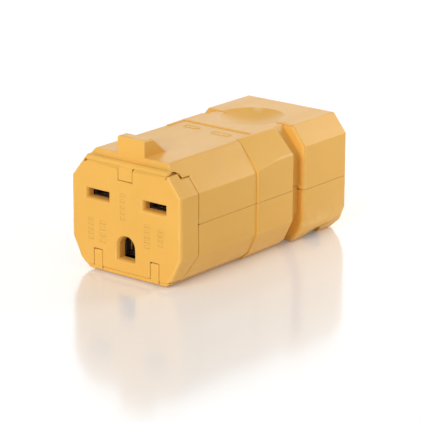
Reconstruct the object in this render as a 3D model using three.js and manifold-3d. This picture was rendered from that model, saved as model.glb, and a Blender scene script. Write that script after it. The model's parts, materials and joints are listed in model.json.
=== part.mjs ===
// Two-pole, three-wire female cord connector with a hinged cover.
// Lengths in millimetres, Z up. Y runs from the mating face to the cord end, X across.
import * as THREE from 'three';
import { ConvexGeometry } from 'three/addons/geometries/ConvexGeometry.js';
import { mergeVertices } from 'three/addons/utils/BufferGeometryUtils.js';
import Module from 'manifold-3d';

// Overall form
const overallLength = 68;
const bodyHeight = 31.3;
const halfWidth = 18;
const bandStep = 0.25; // the collar and cord end stand proud of the grip by this
const wall = 2.3;
const bandStart = 30;
const grooveStart = 45;
const grooveWidth = 4.3;
const grooveDepth = 2;
const grooveCornerShare = 0.8; // shares of the depth by which the groove's corners are drawn in
const grooveShoulderShare = 0.6;
const grooveFlankShare = 0.85;
const endBevel = 0.8;
const lowerCornerRun = 2.7;
const lowerCornerRise = 5.4;
const bellyRun = 2.5;
const bellyRise = 2.2;
const sideDraft = 0.15; // the collar's flank stands this far inside the cord end's

// The cord end's own lower corner, rounder than the rest
const rearCornerRun = 1.4;
const rearCornerRise = 3.6;
const rearBellyRun = 2.8;
const rearBellyRise = 2.6;

// Grip chamfers, and the smaller ones of the collar and the cord end
const gripChamferRun = 5.9;
const gripChamferDrop = 7.4;
const bandChamferDrop = 6;
const bandRamp = 8; // over this length the collar's chamfer rises from the grip's
const bandFinRise = 1.25; // the collar's front edge reaches this far above the grip's shoulder
const bandFinDrop = 0.9;
const bandFinProud = 0.02;
const ribThickness = 0.4; // thin rib down each flank at the collar's front edge
const ribProud = 0.15;
const ribFootDrop = 0.8;
const ribLead = 0.5;
const rearChamferRun = 4;
const rearChamferDrop = 5;

// Contact pattern of the mating face
const slotLineHeight = 19.8;
const slotSpacing = 18.26;
const groundDrop = 11.89;
const slotWidth = 7;
const slotHeight = 2.2;
const groundHoleRadius = 2.65;
const groundHoleDrop = 3.3;
const leadInSize = 0.42;
const leadInDepth = 0.8;

// Face body
const faceDepth = 6.85;
const faceWall = 3;
const faceTopDrop = 3.5;
const faceBottomHeight = 1.47;
const faceFootRun = 2.6;
const faceKneeRun = 1.6;
const earWidth = 4.8;
const earRise = 0.7;
const earDepth = 3.6;
const earStepDrop = 1.2;
const seamGap = 0.2;
const tabWidth = 2.5;
const tabHeight = 4.2;
const tabThickness = 1.2;
const tabFootHeight = 0.65;
const lowerLipSetback = 0.7;

// Cover hinge
const hingeDepth = 2.2;
const hingeDrop = 4.7;
const knuckleHalfWidth = 2.2;
const knuckleRadius = 2.65;
const hingeGap = 0.15;
const hingePinRadius = 0.8;
const hingePinHalfLength = 8;
const pinClearance = 0.1;
const barrelEndGap = 0.4;
const lipSetback = 0.3;
const lipClearance = 0.55; // between the barrel and the cover's front lip
const lipRound = 0.5;
const coveStart = 1.7;
const coveEnd = 2.3;
const coveRun = 0.2;

// Thumb block and thumb scoop on the cover
const bossHalfWidth = 4.3;
const bossRise = 4.4;
const bossStart = 2.3;
const bossLevel = 3.3;
const bossSlope = 5.3;
const scoopRadius = 9;
const scoopDepth = 2;
const scoopSetback = 1; // its centre behind the groove's rear edge
const panelHalfWidth = 11;
const panelEnd = 36.4;
const gutterWidth = 0.4; // narrow channels across the top, at the panel's end and the cord end
const gutterDepth = 0.35;

// Parting line of the two shells
const partingDrop = 4.1;
const rearPartingDrop = 5.05;
const partingGap = 0.2;

// Cord end
const cordHoleRadius = 7.4;
const jawHalfWidth = 8;
const jawEndInset = 5;
const jawLength = 9;
const jawMouth = 13;
const jawShoulder = 3;
const jawShoulderRun = 1.5;
const jawThickness = 3;
const toothPitch = 3;
const toothDepth = 0.8;
const toothHeight = 4.8;
const toothShare = 0.35; // half the mouth of a tooth gap, as a share of the pitch

// Assembly screws, driven from below into inserts in the cover
const screwSideInset = 4.8;
const screwEndInset = 10.4;
const screwCoreRadius = 1.4;
const screwHeadRadius = 2.8;
const screwHeadHeight = 2.3;
const recessClearance = 0.5;
const recessDepth = 5.3;
const screwEngagement = 2.5;
const insertWall = 0.65;
const insertLength = 6;
const insertBoreClearance = 0.55;
const insertSeatHeight = 0.6;
const insertLead = 0.35;
const insertLeadDepth = 0.5;
const shankClearance = 0.5;
const washerThickness = 0.5;
const washerOverhang = 0.2;
const stackGap = 0.15; // between recess floor, washer, screw head and insert
const screwEdge = 0.5;
const driverSlotWidth = 0.8;

// Contacts and terminals
const metal = 0.8;
const contactHalfWidth = 3.2;
const leafGap = 1.9;
const leafStart = 5;
const leafPinch = 0.35;
const leafPinchLength = 2;
const contactInset = 0.8;
const carrierLength = 23.8;
const carrierFloorGap = 1.55;
const carrierBellyRise = 1.7;
const carrierFloorInset = 4.7;
const carrierKneeInset = 2.3;
const carrierKneeDrop = 0.55;
const carrierTopInset = 1.8;
const carrierTopBevel = 1.6;
const carrierRoof = 0.6;
const barrierThickness = 0.7;
const barrierGap = 0.93;
const shelfMargin = 0.4;
const sillThickness = 0.8;
const postThickness = 1.6;
const groundLeafX = 2.2;
const groundHalfHeight = 2.4;
const terminalTail = 9;
const terminalInset = 4.5;
const groundTail = 14.5;
const groundTerminalInset = 5.2;
const terminalScrewRadius = 1.5;
const terminalHeadRadius = 2.7;
const terminalHeadHeight = 2.1;
const terminalTipDrop = 5.2;
const terminalHoleClearance = 0.3;
const terminalSlotWidth = 0.7;
const terminalSlotDepth = 0.9;
const terminalEdge = 0.4;
const clampPlateThickness = 1;
const clampPlateMargin = 0.3;
const clampPlateReach = 0.5;
const springThickness = 0.5;
const springLength = 3.4;
const springStart = 12;
const springMouth = 1;
const fitGap = 0.3;

const roundSegments = 40;
const archSteps = 12;
const scoopSegments = 64;

const wasm = await Module();
wasm.setup();

const yellowNylon = { color: 0xe9b254, roughness: 0.38, metalness: 0 };
const darkNylon = { color: 0x3a2420, roughness: 0.5, metalness: 0 };
const brass = { color: 0xc9a24a, roughness: 0.3, metalness: 1 };
const steel = { color: 0xb8bcc2, roughness: 0.3, metalness: 1 };
const greenPlated = { color: 0x2f7d46, roughness: 0.35, metalness: 0.8 };

// Derived places
const gripHalfWidth = halfWidth - bandStep - sideDraft;
const bandHalfWidth = halfWidth - sideDraft;
const gripTop = bodyHeight - bandStep;
const gripShoulder = gripTop - gripChamferDrop;
const bandFinHeight = gripShoulder + bandFinRise;
const grooveEnd = grooveStart + grooveWidth;
const jawStart = overallLength - jawEndInset - jawLength;
const screwX = halfWidth - screwSideInset;
const screwY = overallLength - screwEndInset;
const earHalfGap = halfWidth - earWidth;
const recessRadius = screwHeadRadius + recessClearance;
const insertRadius = screwCoreRadius + insertBoreClearance + insertWall;
const faceTop = bodyHeight - faceTopDrop;
const hingeHeight = bodyHeight - hingeDrop;
const partingHeight = slotLineHeight - partingDrop;
const rearPartingHeight = slotLineHeight - rearPartingDrop;
const groundHeight = slotLineHeight - groundDrop;
const slotX = slotSpacing / 2;
const barrelRadius = Math.hypot(hingeDepth, faceTop - hingeHeight);
const carrierStart = faceWall + fitGap;
const carrierEnd = carrierStart + carrierLength;
const carrierHalfWidth = gripHalfWidth - wall - 2 * fitGap;
const cavityBase = bandStep + wall;
const carrierBase = cavityBase + carrierFloorGap;
const carrierKneeHeight = cavityBase + bellyRise + lowerCornerRise - carrierKneeDrop;
const leafReach = leafGap / 2 + metal;
const carrierTop = slotLineHeight + leafReach + springThickness + 2 * fitGap + carrierRoof;
const contactEnd = carrierEnd - contactInset;

// --- Solid helpers: three.js makes each shape, manifold-3d joins and cuts.
function solidOf(geometry) {
  const bare = geometry.clone();
  for (const name of Object.keys(bare.attributes)) {
    if (name !== 'position') bare.deleteAttribute(name);
  }
  const merged = mergeVertices(bare, 1e-5);
  return new wasm.Manifold(new wasm.Mesh({
    numProp: 3,
    vertProperties: new Float32Array(merged.attributes.position.array),
    triVerts: new Uint32Array(merged.index.array),
  }));
}

function geometryOf(solid) {
  const mesh = solid.getMesh();
  const geometry = new THREE.BufferGeometry();
  geometry.setAttribute('position', new THREE.BufferAttribute(mesh.vertProperties, 3));
  geometry.setIndex(new THREE.BufferAttribute(mesh.triVerts, 1));
  geometry.computeVertexNormals();
  return geometry;
}

function shapeOf(points) {
  return new THREE.Shape(points.map(([x, y]) => new THREE.Vector2(x, y)));
}

// Outline in (x, z) carried along Y. A bevel shrinks both ends of the prism.
function prismY(points, yStart, yEnd, bevel = 0) {
  const geometry = new THREE.ExtrudeGeometry(shapeOf(points), {
    depth: yEnd - yStart - 2 * bevel,
    bevelEnabled: bevel > 0,
    bevelThickness: bevel,
    bevelSize: bevel,
    bevelOffset: -bevel,
    bevelSegments: 2,
  });
  geometry.rotateX(Math.PI / 2);
  geometry.translate(0, yEnd - bevel, 0);
  return solidOf(geometry);
}

// Outline in (y, z) carried along X.
function prismX(points, xStart, xEnd) {
  const geometry = new THREE.ExtrudeGeometry(shapeOf(points), { depth: xEnd - xStart, bevelEnabled: false });
  geometry.applyMatrix4(new THREE.Matrix4().makeBasis(
    new THREE.Vector3(0, 1, 0),
    new THREE.Vector3(0, 0, 1),
    new THREE.Vector3(1, 0, 0),
  ));
  geometry.translate(xStart, 0, 0);
  return solidOf(geometry);
}

// Outline in (x, y) carried along Z.
function prismZ(points, zStart, zEnd) {
  const geometry = new THREE.ExtrudeGeometry(shapeOf(points), { depth: zEnd - zStart, bevelEnabled: false });
  geometry.translate(0, 0, zStart);
  return solidOf(geometry);
}

function block(xStart, xEnd, yStart, yEnd, zStart, zEnd) {
  const geometry = new THREE.BoxGeometry(xEnd - xStart, yEnd - yStart, zEnd - zStart);
  geometry.translate((xStart + xEnd) / 2, (yStart + yEnd) / 2, (zStart + zEnd) / 2);
  return solidOf(geometry);
}

function rodX(radius, xStart, xEnd, y, z) {
  const geometry = new THREE.CylinderGeometry(radius, radius, xEnd - xStart, roundSegments);
  geometry.rotateZ(Math.PI / 2);
  geometry.translate((xStart + xEnd) / 2, y, z);
  return solidOf(geometry);
}

function rodY(radius, yStart, yEnd, x, z) {
  const geometry = new THREE.CylinderGeometry(radius, radius, yEnd - yStart, roundSegments);
  geometry.translate(x, (yStart + yEnd) / 2, z);
  return solidOf(geometry);
}

function rodZ(radius, zStart, zEnd, x, y) {
  const geometry = new THREE.CylinderGeometry(radius, radius, zEnd - zStart, roundSegments);
  geometry.rotateX(Math.PI / 2);
  geometry.translate(x, y, (zStart + zEnd) / 2);
  return solidOf(geometry);
}

// Profile of (radius, height) pairs turned about a vertical axis at (x, y).
function turned(profile, x, y) {
  const points = profile.map(([radius, height]) => new THREE.Vector2(radius, height));
  const geometry = new THREE.LatheGeometry(points, roundSegments);
  geometry.rotateX(Math.PI / 2);
  geometry.translate(x, y, 0);
  return solidOf(geometry);
}

function union(solids) {
  return solids.reduce((sum, solid) => sum.add(solid));
}

// --- Outer form: octagonal sections, each given by its right half from the bottom up.
function mirrored(rightSide) {
  return [...rightSide, ...rightSide.map(([x, z]) => [-x, z]).reverse()];
}

function sectionOutline(half, base, top, chamferRun, chamferDrop) {
  return mirrored([
    [half - lowerCornerRun - bellyRun, base],
    [half - lowerCornerRun, base + bellyRise],
    [half, base + bellyRise + lowerCornerRise],
    [half, top - chamferDrop],
    [half - chamferRun, top],
  ]);
}

const gripOutline = sectionOutline(gripHalfWidth, bandStep, gripTop, gripChamferRun, gripChamferDrop);
const bandOutline = sectionOutline(bandHalfWidth, 0, bodyHeight, gripChamferRun, bandChamferDrop);
const rearOutline = mirrored([
  [halfWidth - rearCornerRun - rearBellyRun, 0],
  [halfWidth - rearCornerRun, rearBellyRise],
  [halfWidth, rearBellyRise + rearCornerRise],
  [halfWidth, bodyHeight - rearChamferDrop],
  [halfWidth - rearChamferRun, bodyHeight],
]);
const grooveOutline = mirrored([
  [bandHalfWidth - lowerCornerRun - bellyRun - grooveDepth / 2, grooveDepth],
  [bandHalfWidth - lowerCornerRun - grooveDepth * grooveCornerShare, grooveDepth + bellyRise],
  [bandHalfWidth - grooveDepth, grooveDepth + bellyRise + lowerCornerRise * grooveFlankShare],
  [bandHalfWidth - grooveDepth, bodyHeight - bandChamferDrop - grooveDepth / 3],
  [bandHalfWidth - gripChamferRun - grooveDepth * grooveShoulderShare, gripTop],
]);
// The hollow's chamfers are smaller than the outside ones, so the wall keeps its thickness there.
const cavityChamferTrim = wall / 3;
const neckChamferTrim = wall / 2;
const cavityOutline = sectionOutline(
  gripHalfWidth - wall,
  cavityBase,
  gripTop - wall,
  gripChamferRun - cavityChamferTrim,
  gripChamferDrop - cavityChamferTrim,
);
const neckOutline = sectionOutline(
  bandHalfWidth - grooveDepth - wall,
  grooveDepth + wall,
  gripTop - wall,
  gripChamferRun - neckChamferTrim,
  gripChamferDrop - neckChamferTrim,
);

const grip = prismY(gripOutline, 0, grooveStart - 1, endBevel);
// The collar starts with the grip's own chamfer and swells to its full section behind a ramp.
const chamferSlope = gripChamferDrop / gripChamferRun;
const chamferXAt = (z) => gripHalfWidth - (z - gripShoulder) / chamferSlope;
const outlineAt = (outline, y) => outline.map(([x, z]) => new THREE.Vector3(x, y, z));
const bandFrontOutline = mirrored([
  [bandHalfWidth - lowerCornerRun - bellyRun, 0],
  [bandHalfWidth - lowerCornerRun, bellyRise],
  [bandHalfWidth, bellyRise + lowerCornerRise],
  [bandHalfWidth, bandFinHeight - bandFinDrop],
  [chamferXAt(bandFinHeight) + bandFinProud, bandFinHeight],
  [chamferXAt(bodyHeight), bodyHeight],
]);
const band = solidOf(new ConvexGeometry([
  ...outlineAt(bandFrontOutline, bandStart),
  ...outlineAt(bandFrontOutline, bandStart + bandStep),
  ...outlineAt(bandOutline, bandStart + bandRamp),
  ...outlineAt(bandOutline, grooveStart),
]));
const neck = prismY(grooveOutline, grooveStart - 2, grooveEnd + 2);
const rearBlock = prismY(rearOutline, grooveEnd, overallLength, endBevel);
const panelNotch = block(-panelHalfWidth, panelHalfWidth, bandStart - 1, panelEnd, gripTop, bodyHeight + 1);
const gutters = [panelEnd, grooveEnd + gutterWidth].map((y) => block(
  -halfWidth,
  halfWidth,
  y - gutterWidth,
  y,
  gripTop - gutterDepth,
  bodyHeight + 1,
));
const panelWidthZone = block(-panelHalfWidth, panelHalfWidth, 0, overallLength, 0, bodyHeight + 1);
const panelGutter = gutters[0].intersect(panelWidthZone);
const ribInner = gripHalfWidth - wall / 2;
const ribBase = bellyRise + lowerCornerRise - ribFootDrop;
const flankRib = prismY([
  [ribInner, ribBase],
  [bandHalfWidth + ribProud, ribBase + ribLead],
  [bandHalfWidth + ribProud, bandFinHeight - bandFinDrop],
  [chamferXAt(bandFinHeight) + ribProud, bandFinHeight],
  [ribInner, bandFinHeight],
], bandStart, bandStart + ribThickness);
const outerForm = union([grip, band.subtract(panelNotch), neck, rearBlock])
  .add(flankRib)
  .add(flankRib.mirror([1, 0, 0]))
  .subtract(panelGutter)
  .subtract(gutters[1]);

// --- Space taken by the face body, seen from the side; "grow" widens it for the shells' seam.
function faceZone(grow) {
  const low = faceBottomHeight - grow;
  const belly = bandStep + bellyRise + lowerCornerRise;
  const zone = prismX([
    [-1, low],
    [faceDepth - faceFootRun + grow, low],
    [faceDepth - faceKneeRun + grow, belly / 2],
    [faceDepth + grow, belly],
    [faceDepth + grow, faceTop + grow],
    [-1, faceTop + grow],
  ], -earHalfGap - grow, earHalfGap + grow);
  const ear = prismX([
    [-1, low],
    [faceDepth - faceFootRun + grow, low],
    [faceDepth - faceKneeRun + grow, belly / 2],
    [faceDepth + grow, belly],
    [faceDepth + grow, faceTop + earRise - earStepDrop + grow],
    [earDepth + grow, faceTop + earRise - earStepDrop + grow],
    [earDepth + grow, faceTop + earRise + grow],
    [-1, faceTop + earRise + grow],
  ], earHalfGap - grow, halfWidth + 2);
  return union([zone, ear, ear.mirror([1, 0, 0])]);
}

// --- Hollow that the shells share: wiring chamber, neck and cord passage.
function jawPocket(grow) {
  return block(
    -jawHalfWidth - grow,
    jawHalfWidth + grow,
    jawStart - grow,
    jawStart + jawLength + grow,
    rearPartingHeight - jawMouth / 2 - jawThickness - grow,
    rearPartingHeight + jawMouth / 2 + jawThickness + grow,
  );
}

const chamber = union([
  prismY(cavityOutline, faceDepth - faceFootRun, grooveStart - grooveDepth + 2 * bandStep),
  prismY(neckOutline, grooveStart - 3, grooveEnd + 1),
  rodY(cordHoleRadius, grooveEnd, overallLength + 1, 0, rearPartingHeight),
  jawPocket(fitGap),
]);

// Everything under the parting line, dropped by half the gap between the shells.
function underParting(shift) {
  const z = partingHeight + shift;
  const zRear = rearPartingHeight + shift;
  const step = grooveEnd + shift;
  return prismX([
    [-1, -1],
    [overallLength + 1, -1],
    [overallLength + 1, zRear],
    [step, zRear],
    [step, z],
    [-1, z],
  ], -halfWidth - 2, halfWidth + 2);
}

// --- Base shell
const tabInner = slotX - tabWidth / 2;
const tabOuter = slotX + tabWidth / 2;
const tabTop = faceBottomHeight + tabHeight;

function faceTabs(grow) {
  const tab = block(
    tabInner - grow,
    tabOuter + grow,
    -grow,
    tabThickness + grow,
    tabFootHeight,
    tabTop + grow,
  );
  return union([tab, tab.mirror([1, 0, 0])]);
}

const recess = rodZ(recessRadius, -1, recessDepth, screwX, screwY);
const shankRadius = screwCoreRadius + shankClearance;
const shankHole = rodZ(shankRadius, recessDepth - 1, rearPartingHeight + 1, screwX, screwY);
const screwCuts = union([recess, shankHole]);

let baseShell = outerForm
  .intersect(underParting(-partingGap / 2))
  .subtract(chamber)
  .subtract(faceZone(seamGap))
  .subtract(block(-halfWidth, halfWidth, -1, lowerLipSetback, -1, tabTop));
baseShell = baseShell
  .add(faceTabs(0).intersect(block(-halfWidth, halfWidth, 0, tabThickness, 0, tabTop)))
  .subtract(screwCuts)
  .subtract(screwCuts.mirror([1, 0, 0]));

// --- Face body: front wall and rim, slots, hinge barrel
function leadIn(points) {
  const geometry = new THREE.ExtrudeGeometry(shapeOf(points), {
    depth: 1,
    bevelEnabled: true,
    bevelThickness: leadInDepth,
    bevelSize: leadInSize,
    bevelSegments: 1,
  });
  geometry.rotateX(Math.PI / 2);
  return solidOf(geometry);
}

function rectangle(x, z, width, height) {
  return [
    [x - width / 2, z - height / 2],
    [x + width / 2, z - height / 2],
    [x + width / 2, z + height / 2],
    [x - width / 2, z + height / 2],
  ];
}

// Arch over a flat sill, for the ground pin.
function archOutline(radius, centreHeight, sillDrop) {
  const points = [[radius, centreHeight - sillDrop]];
  for (let i = 0; i <= archSteps; i += 1) {
    const angle = Math.PI * i / archSteps;
    points.push([radius * Math.cos(angle), centreHeight + radius * Math.sin(angle)]);
  }
  points.push([-radius, centreHeight - sillDrop]);
  return points;
}

const carrierOutline = mirrored([
  [carrierHalfWidth - carrierFloorInset, carrierBase],
  [carrierHalfWidth - carrierKneeInset, carrierBase + carrierBellyRise],
  [carrierHalfWidth, carrierKneeHeight],
  [carrierHalfWidth, carrierTop - carrierTopBevel],
  [carrierHalfWidth - carrierTopInset, carrierTop],
]);
const carrierPocketOutline = carrierOutline.map(([x, z]) => [
  x + Math.sign(x) * fitGap,
  z + (z > slotLineHeight ? fitGap : -fitGap),
]);
const slotOutlines = [-slotX, slotX].map((x) => rectangle(x, slotLineHeight, slotWidth, slotHeight));
const groundOutline = archOutline(groundHoleRadius, groundHeight, groundHoleDrop);

const hingeReliefOfFace = rodX(
  knuckleRadius + hingeGap,
  -knuckleHalfWidth - hingeGap,
  knuckleHalfWidth + hingeGap,
  hingeDepth,
  hingeHeight,
);
const barrelHalf = earHalfGap - barrelEndGap;
const barrel = rodX(barrelRadius, -barrelHalf, barrelHalf, hingeDepth, hingeHeight)
  .intersect(block(-halfWidth, halfWidth, 0, faceDepth, faceTop - 1, bodyHeight));
const hingeBore = rodX(
  hingePinRadius + pinClearance,
  -hingePinHalfLength - fitGap,
  hingePinHalfLength + fitGap,
  hingeDepth,
  hingeHeight,
);

let faceBody = outerForm
  .intersect(faceZone(0))
  .subtract(prismY(carrierPocketOutline, faceWall, faceDepth + 1))
  .add(barrel);
for (const outline of [...slotOutlines, groundOutline]) {
  faceBody = faceBody.subtract(prismY(outline, -1, faceWall + 1)).subtract(leadIn(outline));
}
faceBody = faceBody
  .subtract(hingeReliefOfFace)
  .subtract(hingeBore)
  .subtract(faceTabs(seamGap));

// --- Hinged cover
const lipTop = hingeHeight + barrelRadius + lipClearance;
const frontCutter = prismX([
  [-2, hingeHeight],
  [lipSetback, hingeHeight],
  [lipSetback, lipTop - lipRound],
  [lipSetback + lipRound, lipTop],
  [coveStart, lipTop],
  [coveEnd, lipTop + lipRound],
  [coveEnd + coveRun, bodyHeight + 1],
  [-2, bodyHeight + 1],
], -halfWidth, halfWidth);
const boss = prismX([
  [bossStart, gripTop - 1],
  [bossStart + bossLevel + bossSlope, gripTop - 1],
  [bossStart + bossLevel + bossSlope, gripTop],
  [bossStart + bossLevel, gripTop + bossRise],
  [bossStart, gripTop + bossRise],
], -bossHalfWidth, bossHalfWidth);
const barrelRelief = [-1, 1].map((side) => rodX(
  barrelRadius + hingeGap,
  side < 0 ? -halfWidth : knuckleHalfWidth,
  side < 0 ? -knuckleHalfWidth : halfWidth,
  hingeDepth,
  hingeHeight,
));
const knuckle = rodX(knuckleRadius, -knuckleHalfWidth, knuckleHalfWidth, hingeDepth, hingeHeight)
  .intersect(block(-halfWidth, halfWidth, 0, faceDepth, 0, bodyHeight));

// The scoop is a shallow ball cut whose rim is a circle on the cover's top.
const scoopBall = (scoopRadius ** 2 + scoopDepth ** 2) / (2 * scoopDepth);
const scoopGeometry = new THREE.SphereGeometry(scoopBall, scoopSegments, scoopSegments / 2);
scoopGeometry.translate(0, grooveEnd + scoopSetback, bodyHeight - scoopDepth + scoopBall);
const scoop = solidOf(scoopGeometry);

const insertBase = rearPartingHeight + insertSeatHeight;
const insertTop = insertBase + insertLength;
const insertHole = rodZ(insertRadius + stackGap, 0, insertTop + stackGap, screwX, screwY);
const tipHole = rodZ(shankRadius, 0, insertTop + 2, screwX, screwY);
const insertCuts = union([insertHole, tipHole]);

let hingedCover = outerForm
  .subtract(underParting(partingGap / 2))
  .subtract(chamber)
  .subtract(faceZone(seamGap))
  .subtract(frontCutter)
  .subtract(union(barrelRelief))
  .subtract(scoop);
hingedCover = hingedCover
  .add(boss)
  .add(knuckle)
  .subtract(hingeBore)
  .subtract(insertCuts)
  .subtract(insertCuts.mirror([1, 0, 0]));

// --- Contact carrier: insulating block with a cell for each contact and a shelf for the terminals
const cellHalfWidth = contactHalfWidth + fitGap;
const cellHalfHeight = leafReach + fitGap;
const springHalfWidth = contactHalfWidth + fitGap + springThickness;
const springHalfHeight = leafReach + fitGap + springThickness;
const tailTop = slotLineHeight + leafReach;
const shelfTop = slotLineHeight - cellHalfHeight;
const terminalY = carrierEnd + terminalInset;
const groundTerminalY = carrierEnd + groundTail - groundTerminalInset;

function carrierCell(x) {
  return union([
    block(
      x - cellHalfWidth,
      x + cellHalfWidth,
      leafStart - fitGap,
      carrierEnd + terminalTail + 1,
      slotLineHeight - cellHalfHeight,
      slotLineHeight + cellHalfHeight,
    ),
    block(
      x - springHalfWidth - fitGap,
      x + springHalfWidth + fitGap,
      springStart - fitGap,
      springStart + springLength + fitGap,
      slotLineHeight - springHalfHeight - fitGap,
      slotLineHeight + springHalfHeight + fitGap,
    ),
    prismY(rectangle(x, slotLineHeight, slotWidth, slotHeight), 0, leafStart + 1),
  ]);
}

const groundCell = union([
  block(
    -groundLeafX - metal - fitGap,
    groundLeafX + metal + fitGap,
    leafStart - fitGap,
    carrierEnd + 1,
    groundHeight - groundHalfHeight - fitGap,
    groundHeight + groundHalfHeight + fitGap,
  ),
  block(
    -groundLeafX - metal - springThickness - 2 * fitGap,
    groundLeafX + metal + springThickness + 2 * fitGap,
    springStart - fitGap,
    springStart + springLength + fitGap,
    groundHeight - groundHalfHeight - springThickness - 2 * fitGap,
    groundHeight + groundHalfHeight + springThickness + 2 * fitGap,
  ),
  prismY(groundOutline, 0, leafStart + 1),
]);

const shelfInner = slotX - contactHalfWidth - barrierGap;
const shelf = block(
  shelfInner,
  slotX + contactHalfWidth + shelfMargin,
  carrierEnd - 1,
  carrierEnd + terminalTail,
  carrierKneeHeight,
  shelfTop,
);
const barrier = block(
  shelfInner - barrierThickness,
  shelfInner,
  carrierEnd - 1,
  carrierEnd + terminalTail,
  carrierKneeHeight,
  carrierTop,
);
const tipDepth = shelfTop - terminalTipDrop;
const reliefRadius = terminalScrewRadius + shankClearance;
const screwRelief = rodZ(reliefRadius, tipDepth - 4, shelfTop + 1, slotX, terminalY);
const sideShelf = union([shelf, barrier]).subtract(screwRelief);
const groundSill = block(
  -contactHalfWidth,
  contactHalfWidth,
  carrierEnd - 1,
  carrierEnd + groundTail - 1,
  carrierBase,
  carrierBase + sillThickness,
);
const groundPost = block(
  -contactHalfWidth,
  contactHalfWidth,
  carrierEnd + groundTail - 1 - postThickness,
  carrierEnd + groundTail - 1,
  carrierBase,
  groundHeight + groundHalfHeight - metal - fitGap,
);

const contactCarrier = prismY(carrierOutline, carrierStart, carrierEnd)
  .add(sideShelf)
  .add(sideShelf.mirror([1, 0, 0]))
  .add(groundSill)
  .add(groundPost)
  .subtract(carrierCell(-slotX))
  .subtract(carrierCell(slotX))
  .subtract(groundCell);

// --- Contacts: two leaves bent from one strip, joined at the back, with a terminal tail
const bend = leafStart + leafPinchLength;

function leafOutline(reach) {
  const inner = reach - metal;
  return [
    [leafStart, -reach],
    [contactEnd, -reach],
    [contactEnd, inner],
    [carrierEnd + terminalTail, inner],
    [carrierEnd + terminalTail, reach],
    [bend + 2 * leafPinchLength, reach],
    [bend + leafPinchLength, reach - leafPinch],
    [bend, reach],
    [leafStart, reach],
    [leafStart, inner],
    [bend, inner],
    [bend + leafPinchLength, inner - leafPinch],
    [bend + 2 * leafPinchLength, inner],
    [contactEnd - metal, inner],
    [contactEnd - metal, -inner],
    [bend + 2 * leafPinchLength, -inner],
    [bend + leafPinchLength, -inner + leafPinch],
    [bend, -inner],
    [leafStart, -inner],
  ];
}

const terminalHoleRadius = terminalScrewRadius + terminalHoleClearance;

function lineContact(x) {
  const outline = leafOutline(leafReach).map(([y, z]) => [y, slotLineHeight + z]);
  return prismX(outline, x - contactHalfWidth, x + contactHalfWidth)
    .subtract(rodZ(terminalHoleRadius, 0, bodyHeight, x, terminalY));
}

const groundReach = groundLeafX + metal;
const groundTailTop = groundHeight + groundHalfHeight;
const groundContact = union([
  prismZ([
    [-groundReach, leafStart],
    [-groundLeafX, leafStart],
    [-groundLeafX, contactEnd - metal],
    [groundLeafX, contactEnd - metal],
    [groundLeafX, leafStart],
    [groundReach, leafStart],
    [groundReach, contactEnd],
    [-groundReach, contactEnd],
  ], groundHeight - groundHalfHeight, groundTailTop),
  block(
    -groundReach,
    groundReach,
    contactEnd - metal,
    carrierEnd + groundTail - 1,
    groundTailTop - metal,
    groundTailTop,
  ),
]).subtract(rodZ(terminalHoleRadius, 0, bodyHeight, 0, groundTerminalY));

// C-shaped spring band round a pair of leaves, open on one side.
function springBand(x, z, halfWidthInside, halfHeightInside) {
  const t = springThickness;
  const w = halfWidthInside;
  const h = halfHeightInside;
  const mouth = springMouth;
  const outline = [
    [w, -mouth], [w + t, -mouth], [w + t, -h - t], [-w - t, -h - t],
    [-w - t, h + t], [w + t, h + t], [w + t, mouth], [w, mouth],
    [w, h], [-w, h], [-w, -h], [w, -h],
  ].map(([px, pz]) => [x + px, z + pz]).reverse();
  return prismY(outline, springStart, springStart + springLength);
}

// --- Terminal screw with its clamp plate: slotted cheese head over a square plate
function terminalScrew(x, y, headBase, tip) {
  const headTop = headBase + terminalHeadHeight;
  const across = terminalHeadRadius + 1;
  const slotHalf = terminalSlotWidth / 2;
  return turned([
    [0, tip],
    [terminalScrewRadius - terminalEdge, tip],
    [terminalScrewRadius, tip + terminalEdge],
    [terminalScrewRadius, headBase],
    [terminalHeadRadius, headBase],
    [terminalHeadRadius, headTop - terminalEdge],
    [terminalHeadRadius - terminalEdge, headTop],
    [0, headTop],
  ], x, y).subtract(block(
    x - across,
    x + across,
    y - slotHalf,
    y + slotHalf,
    headTop - terminalSlotDepth,
    headTop + 1,
  ));
}

function terminal(x, y, seat, tip) {
  const plateBase = seat + fitGap;
  const headBase = plateBase + clampPlateThickness + fitGap;
  const plate = block(
    x - terminalHeadRadius - clampPlateMargin,
    x + terminalHeadRadius + clampPlateMargin,
    y - terminalHeadRadius - clampPlateReach,
    y + terminalHeadRadius + clampPlateReach,
    plateBase,
    plateBase + clampPlateThickness,
  ).subtract(rodZ(terminalHoleRadius, 0, bodyHeight, x, y));
  return { plate, screw: terminalScrew(x, y, headBase, tip) };
}

const leftTerminal = terminal(-slotX, terminalY, tailTop, tipDepth);
const rightTerminal = terminal(slotX, terminalY, tailTop, tipDepth);
const groundTerminal = terminal(0, groundTerminalY, groundTailTop, carrierBase + sillThickness + fitGap);

// --- Assembly screw, upside down in its recess, with washer and threaded insert
const washerTop = recessDepth - stackGap;
const washerBase = washerTop - washerThickness;
const headTopFace = washerBase - stackGap;
const screwTip = insertBase + screwEngagement;

function assemblyScrew(x) {
  const headLow = headTopFace - screwHeadHeight;
  const body = turned([
    [0, headLow],
    [screwHeadRadius - screwEdge, headLow],
    [screwHeadRadius, headLow + screwEdge],
    [screwHeadRadius, headTopFace],
    [screwCoreRadius, headTopFace],
    [screwCoreRadius, screwTip - screwEdge],
    [screwCoreRadius - screwEdge, screwTip],
    [0, screwTip],
  ], x, screwY);
  const across = screwHeadRadius + 1;
  const slotHalf = driverSlotWidth / 2;
  return body.subtract(block(
    x - across,
    x + across,
    screwY - slotHalf,
    screwY + slotHalf,
    headLow - 1,
    headLow + 1,
  ));
}

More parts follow.
